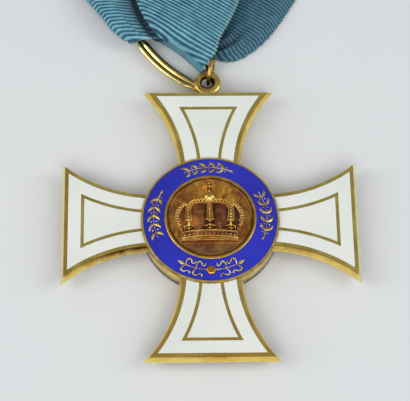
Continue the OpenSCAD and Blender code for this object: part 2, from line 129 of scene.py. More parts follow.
class Shader:
    """A material whose nodes are added by short calls."""

    def __init__(self, name, **values):
        self.material = bpy.data.materials.new(name)
        self.material.use_nodes = True
        self.tree = self.material.node_tree
        self.tree.nodes.clear()
        self.out = self.tree.nodes.new("ShaderNodeOutputMaterial")
        self.bsdf = self.tree.nodes.new("ShaderNodeBsdfPrincipled")
        self.tree.links.new(self.bsdf.outputs[0], self.out.inputs["Surface"])
        for key, value in values.items():
            self.bsdf.inputs[key.replace("_", " ")].default_value = value
        self.coords = self.tree.nodes.new("ShaderNodeTexCoord").outputs["Object"]

    def put(self, socket, value):
        if isinstance(value, bpy.types.NodeSocket):
            self.tree.links.new(value, socket)
        elif value is not None:
            socket.default_value = value

    def math(self, op, a, b=None, c=None, clamp=False):
        node = self.tree.nodes.new("ShaderNodeMath")
        node.operation = op
        node.use_clamp = clamp
        for socket, value in zip(node.inputs, (a, b, c)):
            self.put(socket, value)
        return node.outputs[0]

    def both(self, a, b):
        return self.math("MULTIPLY", a, b)

    def radius(self, x, y):
        return self.math("SQRT", self.math("ADD", self.both(x, x), self.both(y, y)))

    def noise(self, scale, detail=3.0, rough=0.5, coords=None, distortion=0.0):
        node = self.tree.nodes.new("ShaderNodeTexNoise")
        self.put(node.inputs["Vector"], coords or self.coords)
        node.inputs["Scale"].default_value = scale
        node.inputs["Detail"].default_value = detail
        node.inputs["Roughness"].default_value = rough
        node.inputs["Distortion"].default_value = distortion
        return node.outputs["Fac"]

    def cloud(self, scale, detail=3.0, rough=0.5, low=0.36, high=0.64, distortion=0.0):
        """Noise that reaches from 0 to 1."""
        noise = self.noise(scale, detail, rough, distortion=distortion)
        return self.step(noise, low, high, False)

    def attribute(self, name):
        node = self.tree.nodes.new("ShaderNodeAttribute")
        node.attribute_name = name
        return node.outputs["Fac"]

    def stretched(self, x, y, z):
        node = self.tree.nodes.new("ShaderNodeMapping")
        self.put(node.inputs["Vector"], self.coords)
        node.inputs["Scale"].default_value = (x, y, z)
        return node.outputs[0]

    def xyz(self, vector=None):
        node = self.tree.nodes.new("ShaderNodeSeparateXYZ")
        self.put(node.inputs[0], vector or self.coords)
        return node.outputs

    def normal_z(self):
        geometry = self.tree.nodes.new("ShaderNodeNewGeometry")
        return self.xyz(geometry.outputs["Normal"])[2]

    def step(self, value, low, high, smooth_ends=True):
        node = self.tree.nodes.new("ShaderNodeMapRange")
        node.interpolation_type = "SMOOTHSTEP" if smooth_ends else "LINEAR"
        self.put(node.inputs["Value"], value)
        node.inputs["From Min"].default_value = low
        node.inputs["From Max"].default_value = high
        return node.outputs[0]

    def past(self, value, low, high):
        """0 before one place and 1 past another, both in millimetres."""
        return self.step(value, low * MM, high * MM)

    def spread(self, value, low, high):
        node = self.tree.nodes.new("ShaderNodeMapRange")
        self.put(node.inputs["Value"], value)
        node.inputs["To Min"].default_value = low
        node.inputs["To Max"].default_value = high
        return node.outputs[0]

    def ramp(self, value, *stops):
        node = self.tree.nodes.new("ShaderNodeValToRGB")
        self.put(node.inputs[0], value)
        marks = node.color_ramp.elements
        while len(marks) < len(stops):
            marks.new(0.5)
        for mark, (at, colour) in zip(marks, stops):
            mark.position = at
            mark.color = colour
        return node.outputs[0]

    def mix(self, fac, a, b):
        node = self.tree.nodes.new("ShaderNodeMix")
        node.data_type = "RGBA"
        self.put(node.inputs[0], fac)
        self.put(node.inputs[6], a)
        self.put(node.inputs[7], b)
        return node.outputs[2]

    def coats(self, colour, *coats):
        """A colour with others laid over it in turn, each by its own amount."""
        for amount, other in coats:
            colour = self.mix(amount, colour, other)
        return colour

    def bump(self, height, strength, depth):
        """Small relief, its depth in millimetres."""
        node = self.tree.nodes.new("ShaderNodeBump")
        self.put(node.inputs["Height"], height)
        node.inputs["Strength"].default_value = strength
        node.inputs["Distance"].default_value = depth * MM
        self.put(self.bsdf.inputs["Normal"], node.outputs[0])

    def colour(self, value):
        self.put(self.bsdf.inputs["Base Color"], value)

    def rough(self, value):
        self.put(self.bsdf.inputs["Roughness"], value)


# Materials

GOLD = srgb(250, 216, 100)
GOLD_DEEP = srgb(232, 184, 68)
GOLD_BROWN = srgb(112, 66, 26)
GOLD_RED = srgb(178, 108, 44)
OLIVE = srgb(232, 210, 108)
OLIVE_DARK = srgb(208, 184, 84)
# painted shade for the eyelet's hole
HOLE_SHADE = srgb(58, 42, 24)


def ring_gilt():
    """The wire ring: slow changes of tone, brown stains and fine scratches."""
    s = Shader("ring_gilt", Metallic=1.0)
    tone = s.cloud(420, 4, 0.6)
    stain = s.cloud(700, 5, 0.65, 0.44, 0.62, distortion=0.6)
    light = s.mix(tone, srgb(176, 132, 56), srgb(226, 190, 104))
    s.colour(s.mix(stain, light, srgb(84, 52, 24)))
    s.rough(s.spread(tone, 0.14, 0.3))
    s.bump(s.noise(4200, 3), 0.12, 0.03)
    return s.material


def cross_gilt():
    """The cross: olive lines on the face; stained and brushed bevels with a worn ridge and a painted
    highlight along it, painted shade under the ridge and painted highlights on the arm ends; and a
    toned eyelet with painted shade round its hole."""
    s = Shader("cross_gilt", Metallic=1.0)
    x, y, z = s.xyz()
    r = s.radius(x, y)
    tone = s.cloud(330, 4, 0.6)

    # the bevels: stains high up and near the middle, a brown west arm, a brown line under the face,
    # a worn ridge with a painted highlight, painted shade below the ridge, painted highlights on the
    # ends
    upper = s.past(z, MID_Z + 0.3, FACE_Z - 0.2)
    stain = s.cloud(170, 5, 0.65, 0.46, 0.66, distortion=0.9)
    west = s.both(s.both(s.past(x, -26.5, -15), s.past(x, -9, -11.5)),
                  s.both(s.past(y, -0.5, -3.5), s.past(y, -13.5, -11)))
    patchy = s.math("MULTIPLY_ADD", s.cloud(600, 5, 0.7), 0.5, s.both(upper, 0.75), clamp=True)
    # the east and west arm ends, which get a painted highlight
    ends = s.past(s.math("ABSOLUTE", x), ARM_REACH - 1, ARM_REACH - 0.4)
    bevel = s.coats(
        s.mix(tone, srgb(238, 200, 94), srgb(253, 228, 130)),
        (s.both(s.both(stain, upper), 0.6), GOLD_RED),
        (s.both(s.past(r, 20, 12), s.both(s.cloud(420, 5, 0.7, 0.4, 0.6), 0.35)), GOLD_BROWN),
        (s.both(west, patchy), srgb(92, 46, 24)),
        (s.both(s.past(z, FACE_Z - 0.28, FACE_Z - 0.12), 0.7), GOLD_BROWN),
        # a worn ridge with a painted highlight along it
        (s.both(s.past(z, MID_Z + 0.25, MID_Z + 0.08), s.both(s.cloud(1500, 4, 0.7), 0.9)),
         srgb(255, 242, 184)),
        # painted shade on the lower bevel, which faces the table
        (s.both(s.past(z, MID_Z - 0.05, MID_Z - 0.8), 0.5), GOLD_BROWN),
        # a painted highlight on the arm ends
        (s.both(ends, 0.6), srgb(255, 248, 208)))

    # the flat lines of the face: redder at the foot, browner at the west end
    face = s.both(s.past(z, FACE_Z - 0.07, FACE_Z - 0.02), s.step(s.normal_z(), 0.9, 0.98))
    lines = s.coats(
        s.mix(tone, OLIVE_DARK, OLIVE),
        (s.both(s.past(y, -12, -22), 0.7), srgb(228, 178, 74)),
        (s.both(s.past(x, -23, -25.5), 0.6), srgb(204, 152, 64)),
        (s.both(s.both(s.cloud(520, 5, 0.7, 0.5, 0.7), s.past(r, 22, 13)), 0.3), GOLD_BROWN))

    # the eyelet, with painted shade round its hole
    from_hole = s.radius(x, s.math("SUBTRACT", y, EYELET_Y * MM))
    on_eyelet = s.past(y, ARM_REACH - 0.2, ARM_REACH + 0.2)
    patina = s.ramp(s.cloud(500, 4, 0.6), (0.0, srgb(160, 128, 60)), (0.4, srgb(214, 182, 96)),
                    (0.7, srgb(234, 202, 112)), (1.0, srgb(254, 232, 156)))
    s.colour(s.coats(s.mix(face, bevel, lines), (on_eyelet, patina),
                     (s.both(s.past(from_hole, 1.5, 1.25), on_eyelet), HOLE_SHADE)))
    brush = s.noise(1.0, 2, 0.5, s.stretched(7000, 7000, 600))
    s.rough(s.spread(s.math("MULTIPLY_ADD", brush, 0.4, s.both(tone, 0.6)), 0.2, 0.4))
    s.bump(s.math("MULTIPLY_ADD", s.noise(2600, 4), 0.7, brush), 0.25, 0.03)
    return s.material


def mount_gilt():
    """The medallion's mount: bright rim tops, a mottled wall, patina inside the recess."""
    s = Shader("mount_gilt", Metallic=1.0)
    x, y, _ = s.xyz()
    r = s.radius(x, y)
    tone = s.cloud(420, 5, 0.65, distortion=0.5)
    mottled = s.ramp(tone, (0.05, srgb(62, 46, 26)), (0.35, srgb(120, 96, 48)),
                     (0.65, srgb(196, 168, 92)), (0.95, srgb(150, 140, 104)))
    inner_rim = s.past(r, RING_IN + 0.3, RING_IN + 0.1)
    bright = s.mix(s.both(inner_rim, 0.55), s.mix(s.cloud(900, 4), GOLD_DEEP, GOLD),
                   srgb(178, 126, 68))
    patina = s.ramp(s.cloud(700, 5, 0.7), (0.1, srgb(104, 66, 34)), (0.5, srgb(176, 120, 52)),
                    (0.9, srgb(222, 176, 86)))
    s.colour(s.coats(mottled, (s.step(s.normal_z(), 0.55, 0.9), bright),
                     (s.past(r, RECESS_R + 0.06, RECESS_R - 0.02), patina)))
    s.rough(s.spread(tone, 0.24, 0.46))
    s.bump(s.noise(2600, 5, 0.6), 0.25, 0.04)
    return s.material


def wall_gilt():
    """The reverse plate: toned, with painted shade darkening it towards the table."""
    s = Shader("wall_gilt", Metallic=1.0)
    tone = s.cloud(500, 5, 0.65, distortion=0.5)
    mottled = s.ramp(tone, (0.05, srgb(48, 36, 22)), (0.45, srgb(108, 84, 42)),
                     (0.9, srgb(184, 152, 80)))
    # painted shade near the table
    s.colour(s.mix(s.past(s.xyz()[2], 0.7, 0.1), mottled, srgb(30, 24, 18)))
    s.rough(s.spread(tone, 0.3, 0.5))
    s.bump(s.noise(2600, 5, 0.6), 0.3, 0.04)
    return s.material


def crown_gilt():
    """The crown's disc: bright on what stands out, purple-brown patina where it lies low, an ochre
    floor with painted shade beside the relief and along its rim.
    """
    s = Shader("crown_gilt", Metallic=1.0)
    x, y, _ = s.xyz()
    hollow, floor = s.attribute("hollow"), s.attribute("floor")
    bright = s.mix(s.cloud(520, 6, 0.7, distortion=0.7), srgb(184, 132, 62), srgb(236, 198, 112))
    brown = s.ramp(s.cloud(300, 5, 0.6), (0.1, srgb(96, 62, 52)), (0.5, srgb(150, 94, 58)),
                   (0.9, srgb(206, 136, 72)))
    relief = s.mix(s.step(hollow, 0.1, 0.62), bright, brown)
    ochre = s.ramp(s.cloud(260, 6, 0.7, distortion=1.2), (0.05, srgb(138, 82, 56)),
                   (0.35, srgb(182, 116, 58)), (0.62, srgb(222, 162, 62)),
                   (0.95, srgb(244, 198, 88)))
    below = s.past(y, -4.2, -5.2)
    beside = s.past(s.math("ABSOLUTE", x), 4.4, 6.8)
    rim = s.past(s.radius(x, y), RECESS_R - 0.6, RECESS_R - 0.2)
    # the floor: darker below and beside the crown; painted shade beside the relief and along the rim
    ground = s.coats(ochre, (s.both(below, 0.6), srgb(118, 82, 78)),
                     (s.both(beside, 0.4), srgb(150, 96, 56)),
                     (s.both(hollow, 0.75), srgb(70, 44, 34)),
                     (s.both(rim, 0.8), srgb(84, 54, 34)))
    s.colour(s.mix(floor, relief, ground))
    s.rough(s.spread(s.math("MAXIMUM", hollow, s.both(floor, 0.6)), 0.28, 0.5))
    s.bump(s.noise(3600, 5, 0.6), 0.3, 0.04)
    return s.material


def loop_gilt():
    """The loop: polished ridges, with painted shade on the side of each ridge that faces the loop's
    inside, which for the outer ridge lies in the groove.
    """
    s = Shader("loop_gilt", Metallic=1.0)
    tone = s.cloud(300, 4, 0.6)
    polished = s.mix(tone, srgb(222, 188, 92), srgb(254, 240, 168))
    # painted shade on the inward side of each ridge
    s.colour(s.mix(s.both(s.attribute("groove"), 0.93), polished, srgb(58, 42, 8)))
    s.rough(s.spread(tone, 0.1, 0.18))
    s.bump(s.noise(3000, 3), 0.06, 0.02)
    return s.material


def ornament_gilt():
    """The thin gilding on the blue enamel, with an amber dot in the middle of the scroll."""
    s = Shader("ornament_gilt", Metallic=1.0)
    x, y, _ = s.xyz()
    thin = s.ramp(s.cloud(800, 4, 0.6), (0.1, srgb(168, 122, 50)), (0.5, srgb(224, 194, 108)),
                  (0.9, srgb(250, 236, 170)))
    from_dot = s.radius(x, s.math("ADD", y, RING_MID * MM))
    s.colour(s.mix(s.past(from_dot, 0.98, 0.8), thin, srgb(206, 142, 52)))
    s.rough(s.spread(s.cloud(1500), 0.2, 0.36))
    s.bump(s.noise(6000, 3), 0.15, 0.02)
    return s.material


def enamel(name, light, dark, rough):
    """Fired enamel: a nearly even glossy coat with a soft orange-peel surface and a few pits."""
    s = Shader(name, IOR=1.5)
    pits = s.step(s.noise(1100, 2), 0.74, 0.8)
    colour = s.mix(s.cloud(110, 3, 0.5), dark, light)
    s.colour(s.mix(s.both(pits, 0.25), colour, srgb(120, 112, 96)))
    s.rough(s.spread(s.noise(900, 3), rough - 0.04, rough + 0.06))
    s.bump(s.math("MULTIPLY_ADD", s.noise(2600, 2), 0.2, s.noise(330, 2)), 0.03, 0.4)
    return s.material


# One rib's width, and the cloth's length that one unit of its length coordinate stands for
RIB, V_LENGTH = 0.69, 400.0


def silk():
    """Ribbed silk: the ribs run across, from the cloth's own length coordinate. Painted light on the
    rib tops and painted shade in their troughs; painted shade on the lower strand and the wrap,
    under the lap and beside the upper strand's edge.
    """
    s = Shader("ribbed_silk", Sheen_Weight=0.2, Sheen_Roughness=0.4, Specular_IOR_Level=0.3)
    uv = s.tree.nodes.new("ShaderNodeUVMap")
    uv.uv_map = "cloth"
    v = s.xyz(uv.outputs[0])[1]
    wobble = s.both(s.math("SUBTRACT", s.noise(500, 3), 0.5), 1.6)
    phase = s.math("MULTIPLY_ADD", v, V_LENGTH / RIB * 2 * math.pi, wobble)
    rib = s.math("MULTIPLY_ADD", s.math("SINE", phase), 0.5, 0.5)
    uneven = s.math("SUBTRACT", s.noise(650, 3, 0.6), 0.5)
    thread = s.math("MULTIPLY_ADD", uneven, 0.9, rib, clamp=True)
    # painted light on the rib tops and painted shade in the troughs, over the threads' own uneven
    # tone
    ribbed = s.ramp(thread, (0.0, srgb(30, 68, 88)), (0.3, srgb(52, 106, 130)),
                    (0.65, srgb(90, 148, 168)), (1.0, srgb(132, 186, 198)))
    s.colour(s.coats(ribbed, (s.both(s.cloud(120, 3, 0.6), 0.3), srgb(70, 128, 150)),
                     # painted shade on the lower strand near the loop and on the wrap
                     (s.both(s.attribute("age"), 0.55), srgb(28, 62, 84)),
                     (s.both(s.attribute("selvage"), 0.4), srgb(146, 180, 160)),
                     # painted shade in the gap under the lap and beside the upper strand's edge
                     (s.both(s.attribute("slot"), 0.85), srgb(10, 26, 36))))
    s.rough(s.spread(thread, 0.7, 0.5))
    s.bump(s.math("MULTIPLY_ADD", s.noise(6000, 2), 0.15, rib), 0.6, 0.08)
    return s.material


# The loop and the ribbon, with the sizes of the CAD source and thinner cloth

WIDTH, STRAND, BUNCH, FOLD = 50.0, 182.0, 3.0, 2.2
LOOP_L, LOOP_W, LOOP_END, LOOP_DIR = 19.6, 6.9, 2.3, 137.5
RIDGE, RIDGE_W, RIDGE_JOIN, WIDE_FROM, WIDE_OVER = 0.76, 1.08, 0.02, 0.76, 0.28
CAP_Y, LOOP_Z = 28.7, 1.5
HALF_L, HALF_W = LOOP_L / 2 - LOOP_END, LOOP_W / 2
SIDE_R = (HALF_L ** 2 + HALF_W ** 2 - LOOP_END ** 2) / (2 * (HALF_W - LOOP_END))
LOOP_MID = np.array([HALF_L * cosd(LOOP_DIR), CAP_Y + HALF_L * sind(LOOP_DIR)])
WRAP_MID = LOOP_MID - (SIDE_R - HALF_W) * np.array([sind(LOOP_DIR), -cosd(LOOP_DIR)])
WRAP_R = SIDE_R - RIDGE - RIDGE_W / 2
WRAP_DIR, WRAP_FAN = LOOP_DIR - 88.5, 13.0
SEAT = WRAP_MID + WRAP_R * np.array([cosd(WRAP_DIR), sind(WRAP_DIR)])
CLOTH, CLEAR = 0.36, 0.08
TURN_R = CLOTH / 2 + RIDGE / 2 + CLEAR
TURN_REACH = CLOTH / 2 + RIDGE_W / 2 + CLEAR
TABLE_GAP = 0.01
LOW_Z = CLOTH / 2 + 0.02
HIGH_Z = LOW_Z + 2.3

FRONT_NEAR = [
    # out, side, half, turn, sag, rise, puff, crease
    (0.029, -0.035, 0.135, -15, 0.060, 0.22, 0.26, 0.30),
    (0.061, -0.056, 0.187, -12, 0.055, 0.46, 0.38, 0.62),
    (0.104, -0.074, 0.227, -11, 0.030, 0.56, 0.38, 0.72),
    (0.199, -0.084, 0.287, -7, 0.012, 0.42, 0.30, 0.50),
    (0.370, -0.080, 0.345, -4, 0.004, 0.34, 0.27, 0.36),
    (0.640, -0.050, 0.400, -1, 0.000, 0.28, 0.22, 0.22)]
FRONT_FAR = [
    # out, side, half, turn, sag, rise, puff, crease
    (0.27, -0.010, 0.440, 0, 0.00, 0.25, 0.20, 0.15),
    (0.46, 0.060, 0.490, 0, 0.00, 0.12, 0.10, 0.00),
    (0.72, 0.095, 0.500, 0, 0.00, 0.05, 0.06, 0.00),
    (0.98, 0.095, 0.500, 0, 0.00, 0.00, 0.00, 0.00)]
BACK_NEAR = [
    # out, side, half, turn, sag, rise, puff, crease
    (0.029, 0.010, 0.111, -39, 0.020, 0.00, 0.02, 0.00),
    (0.049, 0.059, 0.147, -33, 0.020, 0.02, 0.06, 0.00),
    (0.109, 0.116, 0.193, -19, 0.010, 0.06, 0.12, 0.00),
    (0.219, 0.143, 0.257, -9, 0.000, 0.05, 0.12, 0.00),
    (0.370, 0.165, 0.320, -5, 0.000, 0.04, 0.10, 0.00),
    (0.640, 0.180, 0.395, -2, 0.000, 0.03, 0.08, 0.00)]
BACK_FAR = [
    # out, side, half, turn, sag, rise, puff, crease
    (0.27, 0.190, 0.450, 0, 0.00, 0.02, 0.04, 0.00),
    (0.46, 0.150, 0.500, 0, 0.00, 0.01, 0.02, 0.00),
    (0.72, 0.110, 0.500, 0, 0.00, 0.00, 0.02, 0.00),
    (0.98, 0.095, 0.500, 0, 0.00, 0.00, 0.00, 0.00)]

# How far the photo shows a strand, how far its folds are fine, and the ribs' lean by the loop
SHOWN, FINE = 18, 50
FRONT_LEAN, BACK_LEAN, LEAN_X = 32, 36, 5.5
RIB_RISE, NOTCH = 0.05, 0.24
FAR_TURNS, WRAP_TURNS = 8, 12

# Across the cloth, where the middle laps over the left part: the stretch under it and its edge
LAP_FROM, LAP_TO, LAP_EDGE, FULL_CREASE = -0.53, -0.28, -0.3, 1.5
LAP = np.array([
    # across, then beside the middle's visible edge and above the row: the left part dips under
    (-1.00, 0.00, 0.00), (-0.80, -0.10, 0.00), (-0.64, -0.65, -0.10), (-0.56, -1.20, -0.45),
    (-0.51, -1.40, -0.90), (-0.46, -0.90, -1.55), (-0.41, 0.30, -1.85), (-0.37, 1.00, -1.55),
    (-0.345, 0.85, -1.10), (-0.32, 0.20, -0.75), (-0.30, -0.05, -0.35), (-0.28, 0.00, -0.05),
    (-0.25, 0.00, 0.16), (-0.18, 0.00, 0.24), (0.00, 0.00, 0.20), (0.40, 0.00, 0.05),
    (1.00, 0.00, 0.00)])


def strand_rows(near, far, first_z, base, far_base):
    """Rows in millimetres: middle x, middle y, half width, turn, sag, height, puff, crease."""
    rows = [(SEAT[0], SEAT[1], WRAP_R * sind(WRAP_FAN), WRAP_DIR - 90,
             WRAP_R * (1 - cosd(WRAP_FAN)), first_z, 0, 0)]
    for out_by, table, level in ((WIDTH, near, base), (STRAND, far, far_base)):
        for out, side, half, turn, sag, rise, puff, crease in table:
            rows.append((SEAT[0] + side * WIDTH, SEAT[1] + out * out_by, half * WIDTH, turn,
                         sag * WIDTH, level + rise * BUNCH, puff * BUNCH, crease * BUNCH))
    return np.array(rows)


def row_at(rows, s):
    """A smooth curve through the rows."""
    last = len(rows) - 1
    i = min(int(s), last - 1)
    q = s - i
    a, b, c, d = (rows[k] for k in (max(i - 1, 0), i, i + 1, min(i + 2, last)))
    return (2 * b + (c - a) * q + (2 * a - 5 * b + 4 * c - d) * q ** 2
            + (3 * b - a - 3 * c + d) * q ** 3) / 2


def placed(row, along, z, t):
    """Points of a row, turned and sagging."""
    x, y, _, turn, sag = row[:5]
    back = -sag * t * t
    return np.stack([x + along * cosd(turn) - back * sind(turn),
                     y + along * sind(turn) + back * cosd(turn), z], 1)


def plain_row(row, t):
    """A row of the lower strand."""
    half, height, puff = row[2], row[5], row[6]
    return placed(row, half * t, height + puff * (1 - t * t), t)


def lapped_row(row, t, fold):
    """A row of the upper strand, whose middle laps over its left part."""
    half, height, puff, crease = row[2], row[5], row[6], row[7]
    share = fold * min(crease / FULL_CREASE, 1.0)
    beside = np.where((t > LAP_FROM) & (t < LAP_TO), LAP_EDGE * half, half * t)
    beside = share * beside + (1 - share) * half * t
    along = beside + share * np.interp(t, LAP[:, 0], LAP[:, 1])
    z = height + puff * (1 - t * t) + share * np.interp(t, LAP[:, 0], LAP[:, 2])
    for _ in range(2):
        along[1:-1] = (along[:-2] + 2 * along[1:-1] + along[2:]) / 4
        z[1:-1] = (z[:-2] + 2 * z[1:-1] + z[2:]) / 4
    return placed(row, along, z, t)


def even_steps(rows):
    """Places along the rows that lie evenly on the cloth, close together where it shows."""
    dense = np.linspace(0, len(rows) - 1, 4000)
    run = run_along(np.array([row_at(rows, s)[:2] for s in dense]))
    wanted = np.concatenate([np.arange(0, SHOWN, RIB / 4), np.arange(SHOWN, FINE, 0.5),
                             np.arange(FINE, run[-1], 1.6), [run[-1]]])
    return np.interp(wanted, run, dense), wanted


def rib_run(points, run, lean):
    """The cloth's length coordinate: near the loop the ribs lie straight, leaning by an angle."""
    lean = np.radians(lean)
    straight = ((points[:, 0] - SEAT[0] + LEAN_X) * np.sin(lean)
                + (points[:, 1] - SEAT[1]) * np.cos(lean))
    w = smooth(run, 30, 80)
    return straight * (1 - w) + run * w


def front_folds(points, t, run):
    """The upper strand's left edge curls under. Beside the loop its right side swells, and its
    left part is drawn aslant."""
    curl = smooth(run, 0, 5) * fade(run, 14, 26) * smooth(-t, 0.88, 1.0)
    points[:, 2] -= curl * 1.1
    points[:, 0] += curl * 0.5
    points[:, 0] += np.clip(t, 0, 1) ** 2 * 0.9 * bell(run, 2.5, 2.0)
    near = smooth(run, 0.3, 2.0) * fade(run, 2, 3)
    points[:, 1] += near * np.interp(t, [-1, -0.7, -0.42, -0.3], [0.8, 0.2, -0.5, 0])
    return points


def back_folds(points, t, run):
    """The lower strand lifts beside the ring, is crumpled there, and curls down at its edge."""
    grow = smooth(run, 0, 5) * fade(run, 12, 20)
    body = smooth(t, -0.1, 0.5) * (1 - smooth(t, 0.86, 1.0))
    crumple = bell(run, 4, 3.5) * 0.8 * np.sin(t * 24 + 0.5 * run)
    points[:, 2] += grow * body * (1.25 + 0.2 * np.sin(t * 7 + run * 0.2) + crumple)
    points[:, 1] += np.clip(t, 0, 1) * (bell(run, 0, 2.2) + 1.4 * bell(run, 2.5, 2))
    return points


class Cloth:
    """Cross sections once round the cloth, each with what the silk reads from its points."""

    def __init__(self):
        self.points, self.length, self.age, self.slot = [], [], [], []

    def add(self, points, length, age=0.0, slot=0.0):
        self.points.append(points)
        self.length.append(length)
        self.age.append(age)
        self.slot.append(slot + np.zeros(len(points)))


def ribbon_sections(t):
    """The upper strand outwards, the turn at the far end, the lower strand back, and the wrap
    round the loop. Also the length coordinate where the wrap closes and the length once round."""
    cloth = Cloth()
    front = strand_rows(FRONT_NEAR, FRONT_FAR, LOOP_Z + TURN_R, HIGH_Z, LOW_Z + FOLD)
    back = strand_rows(BACK_NEAR, BACK_FAR, LOOP_Z - TURN_R, LOW_Z, LOW_Z)

    steps, runs = even_steps(front)
    lean = FRONT_LEAN * (1 - smooth(-t, 0.34, 0.48))
    # the columns of the gap under the lap, which get painted shade where the strand shows
    groove = smooth(-t, 0.31, 0.34) * smooth(t, -0.56, -0.48)
    for s, run in zip(steps, runs):
        fold = float(smooth(run, 0.3, 3.5))
        points = front_folds(lapped_row(row_at(front, s), t, fold), t, run)
        shown = smooth(run, 0.5, 2) * smooth(-run, -30, -18)
        cloth.add(points, rib_run(points, run, lean), slot=shown * groove)

    end, end_length = cloth.points[-1], cloth.length[-1]
    turn_r = (end[len(t) // 2][2] - LOW_Z) / 2
    for a in np.linspace(0, 180, FAR_TURNS + 2)[1:-1]:
        ring = end.copy()
        ring[:, 1] += turn_r * sind(a)
        ring[:, 2] = LOW_Z + turn_r * (1 + cosd(a))
        cloth.add(ring, end_length + turn_r * math.radians(a))
    whole = 2 * runs[-1] + math.pi * turn_r

    steps, runs = even_steps(back)
    for s, run in zip(steps[::-1], runs[::-1]):
        points = back_folds(plain_row(row_at(back, s), t), t, run)
        # painted shade on the lower strand near the loop, and beside the upper strand's edge
        cloth.add(points, whole - rib_run(points, run, BACK_LEAN),
                  1.0 - float(smooth(run, 30, 70)),
                  0.75 * fade(run, 4, 5) * (1 - smooth(t, 0.5, 0.95)))

    first, wrap_start = cloth.points[0], cloth.length[-1]
    wrap_end = whole + math.pi * TURN_R + cloth.length[0]
    lean = np.radians(WRAP_DIR - WRAP_FAN * t)
    for a in np.linspace(180, 0, WRAP_TURNS + 2)[1:-1]:
        ring = first.copy()
        ring[:, 0] -= TURN_REACH * sind(a) * np.cos(lean)
        ring[:, 1] -= TURN_REACH * sind(a) * np.sin(lean)
        ring[:, 2] = LOOP_Z + TURN_R * cosd(a)
        # painted shade on the wrap, darkest under the loop
        cloth.add(ring, wrap_start + (wrap_end - wrap_start) * (1 - a / 180), a / 180)
    return cloth, runs, wrap_end, float(whole + math.pi * TURN_R)


def build_ribbon(material):
    """The cloth as one closed skin, with ribs in relief and notched edges where it shows."""
    t = np.concatenate([np.linspace(-1, -0.62, 13)[:-1], np.linspace(-0.62, -0.18, 33)[:-1],
                        np.linspace(-0.18, 0.975, 33), [0.986, 1]])
    cloth, runs, wrap_end, round_length = ribbon_sections(t)
    mid, length = np.array(cloth.points), np.array(cloth.length)
    n, m = length.shape
    last = m - 1
    side = np.gradient(mid, axis=1)
    normal = np.cross(side, np.roll(mid, -1, 0) - np.roll(mid, 1, 0))
    normal /= np.linalg.norm(normal, axis=2, keepdims=True)
    edge = side / np.linalg.norm(side, axis=2, keepdims=True)

    # the relief fades out beyond what the photo shows, and starts with the wrap's first ring
    shown = 1 - smooth(runs, SHOWN - 2, SHOWN + 2)
    close, wrap = np.zeros(n), n - WRAP_TURNS + 1
    close[:len(runs)] = shown
    close[wrap - len(runs):wrap] = shown[::-1]
    rib = np.sin(length * 2 * math.pi / RIB)
    mid = mid + normal * (rib * close[:, None] * RIB_RISE)[..., None]
    mid[:, 0] -= edge[:, 0] * (rib[:, 0] * close * NOTCH)[:, None]
    mid[:, -1] += edge[:, -1] * (rib[:, -1] * close * NOTCH)[:, None]
    points = np.concatenate([(mid + normal * CLOTH / 2).reshape(-1, 3),
                             (mid - normal * CLOTH / 2).reshape(-1, 3)])
    points[:, 2] = np.maximum(points[:, 2], TABLE_GAP)

    def at(a, b):
        return (a % n) * m + b

    i, j = np.meshgrid(np.arange(n), np.arange(last), indexing="ij")
    k, under = np.arange(n), n * m
    upper = np.stack([at(i, j), at(i, j + 1), at(i + 1, j + 1), at(i + 1, j)], -1).reshape(-1, 4)
    left = np.stack([at(k, 0), at(k + 1, 0), at(k + 1, 0) + under, at(k, 0) + under], -1)
    right = np.stack([at(k, last), at(k, last) + under, at(k + 1, last) + under,
                      at(k + 1, last)], -1)
    faces = np.concatenate([upper, upper[:, ::-1] + under, left, right])
    piece = add_mesh("ribbon_silk", points, faces.tolist(), material)

    # the length coordinate goes on past the last section, where the cloth closes
    station = np.concatenate([i.ravel(), i.ravel(), k, k])
    corner = faces.ravel() % under
    v = length.reshape(-1)[corner]
    closing = np.repeat(station == n - 1, 4) & (corner // m == 0)
    v[closing] = wrap_end[corner[closing] % m]
    layer = piece.data.uv_layers.new(name="cloth")
    uv = np.stack([corner % m / last, v / V_LENGTH], 1)
    layer.data.foreach_set("uv", uv.astype(np.float32).ravel())

    # painted shade on the lower strand and the wrap
    aged = np.tile(np.repeat(cloth.age, m), 2)
    column = np.tile(np.arange(m), 2 * n)
    add_values(piece, "age", aged)
    add_values(piece, "selvage", (column >= last - 1) * (aged < 0.1))
    add_values(piece, "slot", np.tile(np.array(cloth.slot).ravel(), 2))
    return piece, round_length


def ridge_widening(f):
    """How much wider the ridges are at a place on a long side, from -1 to 1: narrow again
    before the end that holds the jump ring."""
    return 1 + (RIDGE_W / RIDGE - 1) * smooth(min(WIDE_FROM + f, 1 - f), 0, WIDE_OVER)


